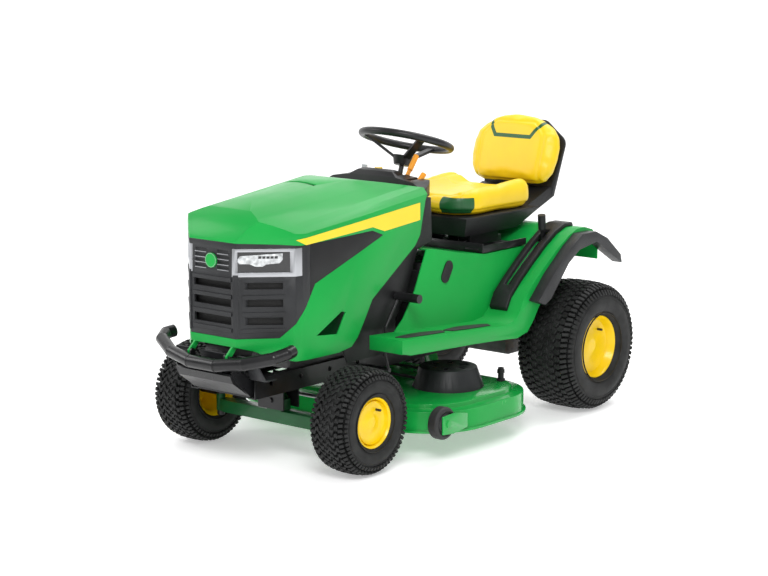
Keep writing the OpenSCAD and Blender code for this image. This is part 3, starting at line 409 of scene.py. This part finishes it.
def tyre(name, wheel, body, node, count, s):
    r, w, rim = wheel["r"], wheel["w"], wheel["rim"]
    cap = r - 0.0075
    half = w / 2 - 0.001
    bead = w * 0.36
    outline = [(-bead + 0.012, rim - 0.004), (-bead - 0.002, rim - 0.002), (-bead - 0.010, rim + 0.004)]
    outline += [
        (-half + 0.006, rim + 0.018), (-half, rim + (r - rim) * 0.34), (-half + 0.001, rim + (r - rim) * 0.5),
        (-half + 0.010, rim + (r - rim) * 0.68), (-half + 0.026 * s, cap - 0.022 * s),
        (-half + 0.046 * s, cap - 0.009 * s), (-half * 0.3, cap - 0.001),
    ]
    outline += [(-a, q) for a, q in reversed(outline)]
    o = turned(outline, wheel, 96)
    carcass = bevelled(o, 0.004, 2, 40)
    lugs = []
    pitch = 2 * math.pi * r / count
    for k, across in enumerate((0.0, 0.2, 0.4, 0.585)):
        for sign in (-1, 1):
            if k == 0 and sign < 0:
                continue
            drop = (0.0, 0.0, 0.0012, 0.0042)[k] * s
            lean = (24, -24, 24, -18)[k] * sign
            length = 0.175 * half
            b1 = lug(wheel, across * half * sign - length * 0.22, cap - 0.001 - drop,
                (length * 0.56, pitch * 0.62, LUG_HEIGHT), lean, 6 * sign * (k > 2))
            b2 = lug(wheel, across * half * sign + length * 0.22, cap - 0.001 - drop,
                (length * 0.56, pitch * 0.62, LUG_HEIGHT), -lean, 6 * sign * (k > 2))
            lugs.append(around(join([b1, b2]), wheel, count, 0.5 * (k % 2)))
    for sign in (-1, 1):
        b = lug(wheel, 0.765 * half * sign, cap - 0.0085 * s, (0.20 * half, pitch * 0.42, LUG_HEIGHT),
            10 * sign, 29 * sign)
        b2 = lug(wheel, 0.905 * half * sign, cap - 0.0235 * s, (0.17 * half, pitch * 0.40, 0.011),
            3 * sign, 58 * sign)
        lugs.append(around(join([b, b2]), wheel, int(count * 1.4)))
    # thin raised rings on the sidewall
    rings = []
    for rr in (rim + 0.012, rim + (r - rim) * 0.55):
        for sign in (-1, 1):
            edge = half - 0.0045 if rr < rim + 0.02 else half - 0.0035
            ring = [(sign * (edge - 0.004), rr - 0.0015), (sign * (edge + 0.0015), rr - 0.001),
                (sign * (edge + 0.0015), rr + 0.001), (sign * (edge - 0.004), rr + 0.0015)]
            rings.append(turned(ring, wheel, 96))
    o = join([carcass] + lugs + rings)
    hand_over(o, name, body, tyre_rubber, 35)
    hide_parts(node)
    return o


def wheel_disc(name, wheel, body, node, deep):
    """Pressed rim: rolled lips, barrel and a dished face with a raised middle."""
    r, w = wheel["rim"], wheel["w"]
    half = w * 0.36
    outer = [
        (half + 0.008, r), (half + 0.0088, r - 0.003), (half + 0.003, r - 0.0075), (half - 0.010, r - 0.011),
        (deep + 0.013, r - 0.0135), (deep + 0.004, r - 0.017), (deep + 0.001, r - 0.024), (deep, r * 0.62),
        (deep + 0.0015, r * 0.36), (deep + 0.007, r * 0.24), (deep + 0.0075, r * 0.18),
        (deep + 0.0075, 0.0005),
    ]
    inner = [
        (deep + 0.0035, 0.0005), (deep + 0.003, r * 0.24), (deep - 0.003, r * 0.38), (deep - 0.004, r - 0.028),
    ]
    barrel = [
        (-half + 0.012, r - 0.018), (-half, r - 0.012), (-half - 0.008, r - 0.002), (-half - 0.010, r - 0.001),
        (-half - 0.003, r - 0.009), (-half + 0.012, r - 0.0135), (half - 0.012, r - 0.0085), (half, r - 0.004),
    ]
    o = turned(outer + inner + barrel, wheel, 72)
    hand_over(o, name, body, wheel_yellow, 35)
    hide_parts(node)
    # valve stem
    bpy.ops.mesh.primitive_cylinder_add(vertices=20, radius=0.0045, depth=0.026, location=(0, 0, 0),
        rotation=(0, math.pi / 2, 0))
    stem = bpy.context.object
    edit(stem)
    bpy.ops.mesh.bevel(offset=0.001, segments=2)
    done()
    out = 0.74 * (r - 0.02)
    stem.location = (wheel["x"] + deep + 0.008, wheel["y"] + out * math.cos(math.radians(50)),
        wheel["z"] + out * math.sin(math.radians(50)))
    hand_over(stem, name + "_valve", body, soft_rubber)
    return o, stem


def whole_wheel(side_name, wheel, count, s, deep):
    left, right = side_name + "_left", side_name + "_right"
    body_l = "rear_wheel_left" if side_name == "rear" else "front_wheel_left"
    body_r = body_l.replace("left", "right")
    t = tyre("tyre_" + left + "_tread", wheel, body_l, "tyre_" + left, count, s)
    t2 = mirrored(t, "tyre_" + right + "_tread", body_r)
    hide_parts("tyre_" + right)
    d, stem = wheel_disc("rim_" + left + "_disc", wheel, body_l, "rim_" + left, deep)
    d2 = mirrored(d, "rim_" + right + "_disc", body_r)
    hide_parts("rim_" + right)
    mirrored(stem, "rim_" + right + "_valve", body_r)


whole_wheel("rear", REAR, 52, 1.35, 0.0665)
whole_wheel("front", FRONT, 44, 1.0, 0.0475)

# ---- bodywork and frame, from the CAD shapes ----

dressed("hood_shell", green_body, 0.005, 35, 50)
dressed("fender_pan", green_body, 0.003, 35, 40)
dressed("deck_shell", green_steel, 0.002, 35, 40)
dressed("grille", charcoal, 0.002, 30, 35)
dressed("headlight_bezels", bezel_silver, 0.003, 30, 35, 3)
dressed("side_panels", black_plastic, 0.0015, 30, 40)
dressed("dash_tower", black_plastic, 0.004, 30, 40)
dressed("dash_panel", dash_black, 0.006, 30, 50, 3)
dressed("lift_console", black_plastic, 0.004, 30, 40)
dressed("rear_grabs", charcoal, 0.007, 30, 40, 3)
dressed("bumper_cover", charcoal, 0.003, 30, 35)
dressed("spindle_covers", charcoal, 0.003, 35, 40)
dressed("seat_shell", black_plastic, 0.008, 30, 40, 3)
dressed("seat_plate", frame_black, 0.0015, 30, 35)
dressed("battery", tank_black, 0.004)
dressed("fuel_tank", tank_black, 0.012, segments=3)
dressed("engine", cast_metal, 0.006)
dressed("transaxle", cast_metal, 0.005)
dressed("foot_pads", soft_rubber, 0.001)
dressed("discharge_chute", black_plastic, 0.002)
dressed("axle_beam", deep_green, 0.002)
plain = {
    "hood_bands": band_yellow, "badge": green_body, "headlight_lenses": lamp_dark,
    "frame_rails": frame_black, "hitch_plate": frame_black, "fuel_window": black_plastic,
    "steering_column": frame_black, "bumper": tube_black, "knuckle_left": frame_black,
    "knuckle_right": frame_black, "tie_rod": zinc, "axle_shaft_left": zinc,
    "axle_shaft_right": zinc, "steering_wheel": dash_black, "brake_pedal": frame_black,
    "forward_pedal": frame_black, "reverse_pedal": frame_black, "lift_lever": black_plastic,
    "park_lever": orange, "cruise_lever": orange, "pto_knob": wheel_yellow, "ignition_key": zinc,
    "deck_belt": soft_rubber, "wash_port": black_plastic, "blade_left": blade_steel,
    "blade_right": blade_steel, "gauge_wheel_left": soft_rubber, "gauge_wheel_right": soft_rubber,
    "lift_shaft": deep_green,
}
for node, material in plain.items():
    o = nodes[node]
    o.data.materials.clear()
    o.data.materials.append(material)


# ---- lamps, screens and trim on the hood ----

def along(points, x):
    """Straight-line value at x in a list of (x, value) points."""
    for (x0, v0), (x1, v1) in zip(points, points[1:]):
        if x <= x1:
            return v0 + (v1 - v0) * (x - x0) / (x1 - x0)
    return points[-1][1]


trees = {}


def front_at(node, x, heights):
    """How far forward the node's surface comes at x, over the given heights."""
    if node not in trees:
        mesh = nodes[node].data
        trees[node] = BVHTree.FromPolygons([v.co for v in mesh.vertices],
            [p.vertices for p in mesh.polygons])
    hits = []
    for z in heights:
        spot = trees[node].ray_cast(Vector((x, -1.8, z)), Vector((0, 1, 0)))[0]
        if spot is not None and spot.y < -1.3:
            hits.append(spot.y)
    return min(hits) if hits else None


def laid(name, low, high, reach, lift, thick, material, body="hood", columns=14, rows=2):
    """A sheet between two (x, z) lines, held in front of the surface that reach(x) gives by lift."""
    bpy.ops.mesh.primitive_grid_add(x_subdivisions=columns, y_subdivisions=rows, size=1, location=(0, 0, 0))
    o = bpy.context.object
    x0, x1 = low[0][0], low[-1][0]
    for v in o.data.vertices:
        x = x0 + (x1 - x0) * (v.co.x + 0.5)
        bottom, top = along(low, x), along(high, x)
        z = bottom + (top - bottom) * (v.co.y + 0.5)
        v.co = (x, reach(x) - lift, z)
    pick(o)
    mod = o.modifiers.new("sheet", "SOLIDIFY")
    mod.thickness = thick
    mod.offset = 0
    bpy.ops.object.modifier_apply(modifier=mod.name)
    edit(o)
    bpy.ops.mesh.normals_make_consistent(inside=False)
    done()
    hand_over(o, name, body, material)
    return o


levels = [0.49 + 0.02 * k for k in range(16)]
skin = [(x / 1000, front_at("grille", x / 1000, levels)) for x in range(0, 231, 10)]
skin = [(x, y) for x, y in skin if y is not None]
SCREEN_DEPTH = 0.024


def behind_grille(x):
    return along(skin, abs(x)) + SCREEN_DEPTH


laid("grille_screen", [(-0.22, 0.50), (0.22, 0.50)], [(-0.22, 0.70), (0.22, 0.70)], behind_grille, 0,
    0.002, dark_screen, columns=30)
laid("upper_grille_screen", [(-0.085, 0.70), (0.085, 0.70)], [(-0.085, 0.795), (0.085, 0.795)],
    behind_grille, 0, 0.002, dark_screen)

lens_front = []
for k in range(25):
    x = 0.085 + 0.15 * k / 24
    y = front_at("headlight_lenses", x, [0.72, 0.73, 0.74, 0.75, 0.76])
    if y is not None:
        lens_front.append((x, y))


def on_lens(x):
    return along(lens_front, abs(x)) if abs(x) > lens_front[0][0] else lens_front[0][1]


low_line = [(0.104, 0.744), (0.112, 0.737), (0.135, 0.737), (0.15, 0.728), (0.168, 0.728), (0.176, 0.735),
    (0.208, 0.739), (0.216, 0.750)]
high_line = [(0.104, 0.750), (0.113, 0.764), (0.14, 0.766), (0.216, 0.772)]
lens_l = laid("lamp_lens_left", low_line, high_line, on_lens, 0.0022, 0.0025, lamp_clear,
    columns=28)
mirrored(lens_l, "lamp_lens_right", "hood")
for k in range(5):
    x = 0.158 + k * 0.0098
    chip = laid("lamp_cell_left_%d" % k, [(x, 0.7545), (x + 0.0078, 0.755)],
        [(x, 0.7625), (x + 0.0078, 0.763)], on_lens, 0.0040, 0.0016, lamp_dark, columns=2)
    mirrored(chip, "lamp_cell_right_%d" % k, "hood")

bpy.ops.mesh.primitive_torus_add(major_radius=0.0232, minor_radius=0.0019, major_segments=64,
    minor_segments=10, location=(0, 0, 0), rotation=(math.pi / 2, 0, 0))
ring = bpy.context.object
rest(ring)
ring.location = (0, -1.6062, 0.742)
hand_over(ring, "badge_ring", "hood", bezel_silver)
for k in range(4):
    for side in (-1, 1):
        z = 0.7158 + k * 0.018 - 0.0045
        strip = block((side * 0.052 - 0.026, -1.6035, z), (side * 0.052 + 0.026, -1.5985, z + 0.0022),
            0.0005, 1)
        hand_over(strip, "grille_strip_%s_%d" % ("left" if side > 0 else "right", k), "hood", bezel_silver)

# raised bars across the grille and ribs between its fields
def on_grille(x):
    return along(skin, abs(x))


BAR_HEIGHT = 0.013
BAR_LIFT = 0.0012
BAR_THICK = 0.005
for k, z in enumerate((0.505, 0.560, 0.618, 0.676)):
    laid("grille_bar_middle_%d" % k, [(-0.090, z), (0.090, z)],
        [(-0.090, z + BAR_HEIGHT), (0.090, z + BAR_HEIGHT)], on_grille, BAR_LIFT, BAR_THICK, charcoal,
        columns=20)
    bar = laid("grille_bar_left_%d" % k, [(0.122, z), (0.226, z + 0.004)],
        [(0.122, z + BAR_HEIGHT), (0.226, z + 0.015)], on_grille, BAR_LIFT, BAR_THICK, charcoal,
        columns=16)
    mirrored(bar, "grille_bar_right_%d" % k, "hood")
rib = laid("grille_rib_left", [(0.099, 0.495), (0.114, 0.495)], [(0.099, 0.700), (0.114, 0.700)],
    on_grille, 0.0022, 0.006, charcoal, columns=3, rows=8)
mirrored(rib, "grille_rib_right", "hood")

# black sheet behind the lift lever's slot: painted shade for the dark space behind it
SLOT_SHADE_SHEET_X = 0.288
well = [
    (-0.42, 0.40), (-0.27, 0.42), (-0.15, 0.505), (-0.05, 0.535), (0.02, 0.54), (0.02, 0.697), (-0.03, 0.697),
    (-0.09, 0.676), (-0.16, 0.636), (-0.24, 0.581), (-0.32, 0.521), (-0.378, 0.470), (-0.402, 0.426),
]
bpy.ops.mesh.primitive_circle_add(vertices=len(well), fill_type="NGON", location=(0, 0, 0))
shade_sheet = bpy.context.object
for v, (y, z) in zip(shade_sheet.data.vertices, well):
    v.co = (SLOT_SHADE_SHEET_X, y, z)
edit(shade_sheet)
bpy.ops.mesh.extrude_region_move(TRANSFORM_OT_translate={"value": (0.002, 0, 0)})
bpy.ops.mesh.select_all(action="SELECT")
bpy.ops.mesh.normals_make_consistent(inside=False)
done()
# painted shade: a flat black sheet stands for the dark space behind the slot
hand_over(shade_sheet, "lift_slot_shade_sheet", "chassis", black_plastic)

# dark green sheet behind the side vents: painted shade for the dark space behind them
VENT_X = 0.214
for side, tag in ((1, "left"), (-1, "right")):
    shade_sheet = block((side * VENT_X - 0.0015, -1.40, 0.42), (side * VENT_X + 0.0015, -1.09, 0.64), 0.0006, 1)
    # painted shade: the dark green sheet stands for the shaded space behind the vents
    hand_over(shade_sheet, "vent_shade_sheet_" + tag, "hood", deep_green)

# ---- seat ----

def slab(outline, depth):
    """A flat outline pulled out by depth."""
    bpy.ops.mesh.primitive_circle_add(vertices=len(outline), fill_type="NGON", location=(0, 0, 0))
    o = bpy.context.object
    for v, spot in zip(o.data.vertices, outline):
        v.co = spot
    edit(o)
    bpy.ops.mesh.extrude_region_move(TRANSFORM_OT_translate={"value": depth})
    bpy.ops.mesh.select_all(action="SELECT")
    bpy.ops.mesh.normals_make_consistent(inside=False)
    done()
    return bevelled(o, 0.02, 4, 50)


def stuffed(o, cap, steps=20, pressure=4.0):
    """Padded form blown up from a slightly smaller slab, no point going further than cap."""
    pick(o)
    mod = o.modifiers.new("even_mesh", "REMESH")
    mod.mode = "VOXEL"
    mod.voxel_size = 0.0065
    bpy.ops.object.modifier_apply(modifier=mod.name)
    start = [v.co.copy() for v in o.data.vertices]
    cloth = o.modifiers.new("stuffing", "CLOTH")
    cloth.settings.use_pressure = True
    cloth.settings.uniform_pressure_force = pressure
    cloth.settings.effector_weights.gravity = 0
    cloth.settings.quality = 5
    cloth.point_cache.frame_start = 1
    cloth.point_cache.frame_end = steps
    for f in range(1, steps + 1):
        scene.frame_set(f)
    pick(o)
    bpy.ops.object.modifier_apply(modifier=cloth.name)
    scene.frame_set(1)
    for v, s in zip(o.data.vertices, start):
        step = v.co - s
        if step.length > cap:
            v.co = s + step.normalized() * cap
    return o


def groove(o, near, depth, width, plane):
    """Presses a seam into the surface where plane(point) is close to zero and near(point) holds."""
    for v in o.data.vertices:
        d = abs(plane(v.co))
        if d < width * 2.5 and near(v.co):
            n = v.normal
            v.co = v.co - n * depth * math.exp(-(d / width) ** 2)


def smoothed(o, times):
    pick(o)
    mod = o.modifiers.new("ease", "SMOOTH")
    mod.iterations = times
    mod.factor = 0.5
    bpy.ops.object.modifier_apply(modifier=mod.name)


def finer(o):
    pick(o)
    mod = o.modifiers.new("finer", "SUBSURF")
    mod.levels = mod.render_levels = 1
    bpy.ops.object.modifier_apply(modifier=mod.name)


def inside_box(o, lo, hi):
    for v in o.data.vertices:
        v.co = Vector([min(max(v.co[i], lo[i]), hi[i]) for i in range(3)])


def rounded(w, y0, y1, front, rear, z):
    """Plan outline with its own corner radius front and rear."""
    pts = []
    for cx, cy, r, a0 in ((w - rear, y1 - rear, rear, 0), (-w + rear, y1 - rear, rear, 90),
                          (-w + front, y0 + front, front, 180), (w - front, y0 + front, front, 270)):
        pts += [(cx + r * math.cos(math.radians(a0 + 9 * k)), cy + r * math.sin(math.radians(a0 + 9 * k)),
            z) for k in range(11)]
    return pts


def step_up(x, x0, x1):
    t = min(max((x - x0) / (x1 - x0), 0), 1)
    return t * t * (3 - 2 * t)


cushion = stuffed(slab(rounded(0.212, -0.480, -0.012, 0.115, 0.07, 0.786), (0, 0, 0.054)), 0.014)
smoothed(cushion, 8)
for v in cushion.data.vertices:
    top = step_up(v.co.z, 0.80, 0.845)
    side = step_up(abs(v.co.x), 0.085, 0.175)
    back_end = step_up(v.co.y, -0.30, -0.06)
    v.co.z += top * (0.020 * side + 0.012 * side * back_end - 0.006 * (1 - side))
groove(cushion, lambda p: p.z > 0.80, 0.006, 0.005,
    lambda p: (max(abs(p.x) / 0.150, abs(p.y + 0.235) / 0.20) - 1) * 0.150)
groove(cushion, lambda p: p.z > 0.80 and abs(p.x) < 0.148, 0.003, 0.005, lambda p: p.y + 0.15)
groove(cushion, lambda p: True, 0.004, 0.004, lambda p: p.z - 0.792)
finer(cushion)
inside_box(cushion, (-0.226, -0.492, 0.766), (0.226, -0.002, 0.890))
front_patches = [((side * 0.165, -0.475, 0.812), (0.088, 0.075, 0.030), (0, 0, 0)) for side in (1, -1)]
hand_over(cushion, "seat_cushion_pad", "seat", vinyl("yellow_seat_vinyl", front_patches), 60)
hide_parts("seat_cushion")

# how far the seat back runs rearward per metre of height, and the height it is measured from
LEAN = 0.322
BACK_FOOT = 0.818
edge_line = [
    (0.842, 0.10), (0.848, 0.145), (0.864, 0.178), (0.90, 0.200), (0.95, 0.208), (1.0, 0.206),
    (1.04, 0.193), (1.072, 0.165), (1.095, 0.126), (1.111, 0.08), (1.117, 0.03),
]
shape = [(x, 0.046 + (z - BACK_FOOT) * LEAN, z) for z, x in edge_line] + [
    (-x, 0.046 + (z - BACK_FOOT) * LEAN, z) for z, x in reversed(edge_line)
]
backrest = stuffed(slab(shape, (0, 0.056, -0.018)), 0.013)
smoothed(backrest, 14)


def front_of_back(p):
    return p.y < 0.074 + (p.z - BACK_FOOT) * LEAN


groove(
    backrest, front_of_back, 0.005, 0.005,
    lambda p: (max(abs(p.x) / (0.148 - 0.12 * step_up(p.z, 1.02, 1.14)), abs(p.z - 0.965) / 0.115) - 1) * 0.13,
)
finer(backrest)
inside_box(backrest, (-0.224, 0.02, 0.826), (0.224, 0.210, 1.1279))
stripes = [
    ((0, 0.10, 1.022), (0.088, 0.075, 0.0075), (0, 0, 0)),
    ((0.1085, 0.10, 1.055), (0.044, 0.075, 0.0075), (0, math.radians(-54), 0)),
    ((-0.1085, 0.10, 1.055), (0.044, 0.075, 0.0075), (0, math.radians(54), 0)),
]
hand_over(backrest, "seat_back_pad", "seat", vinyl("yellow_back_vinyl", stripes), 60)
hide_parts("seat_backrest")
